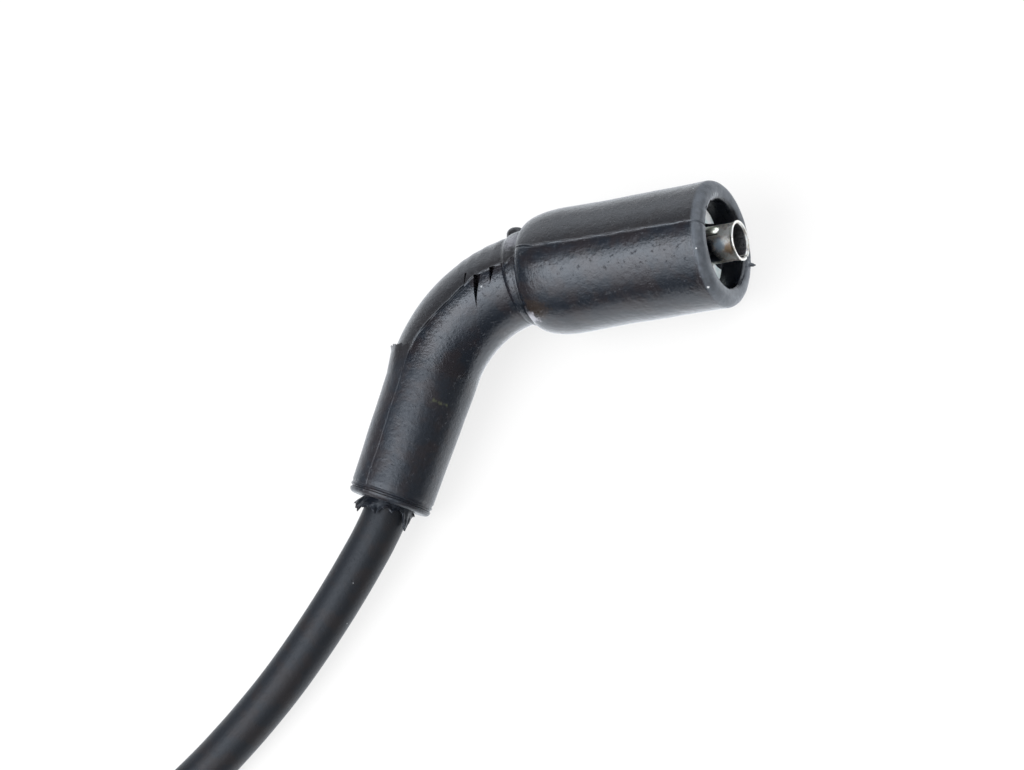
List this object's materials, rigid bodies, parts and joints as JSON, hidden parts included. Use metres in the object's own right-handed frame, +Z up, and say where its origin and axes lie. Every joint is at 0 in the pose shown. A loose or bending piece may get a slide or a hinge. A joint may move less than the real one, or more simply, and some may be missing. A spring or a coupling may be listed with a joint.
{
  "type": "spark plug wire",
  "caption": "Ignition lead: an angled moulded rubber boot with a protruding tube terminal, a thick black cable and a straight plug boot.",
  "frame": {"origin": "centre of the base of the box round the two boots and their terminals, on the surface that the lead lies on", "axes": "+X the way the coil boot's mouth faces, along the lead's long side; +Y across it; +Z up"},
  "size_m": [0.2652, 0.1274, 0.0229],
  "materials": {
    "boot_rubber": "satin moulded rubber with a fine grain, parting lines and dust",
    "cable_jacket": "smooth extruded jacket, semi-gloss",
    "terminal_steel": "bright rolled sheet, slightly heat tinted",
    "spring_steel": "drawn wire"
  },
  "bodies": {
    "root": {"coil_boot": "boot_rubber", "coil_terminal": "terminal_steel", "cable_coil_end": "cable_jacket", "cable": "cable_jacket", "cable_plug_end": "cable_jacket", "plug_boot": "boot_rubber", "plug_terminal": "terminal_steel", "plug_terminal_spring": "spring_steel"}
  },
  "joints": []
}
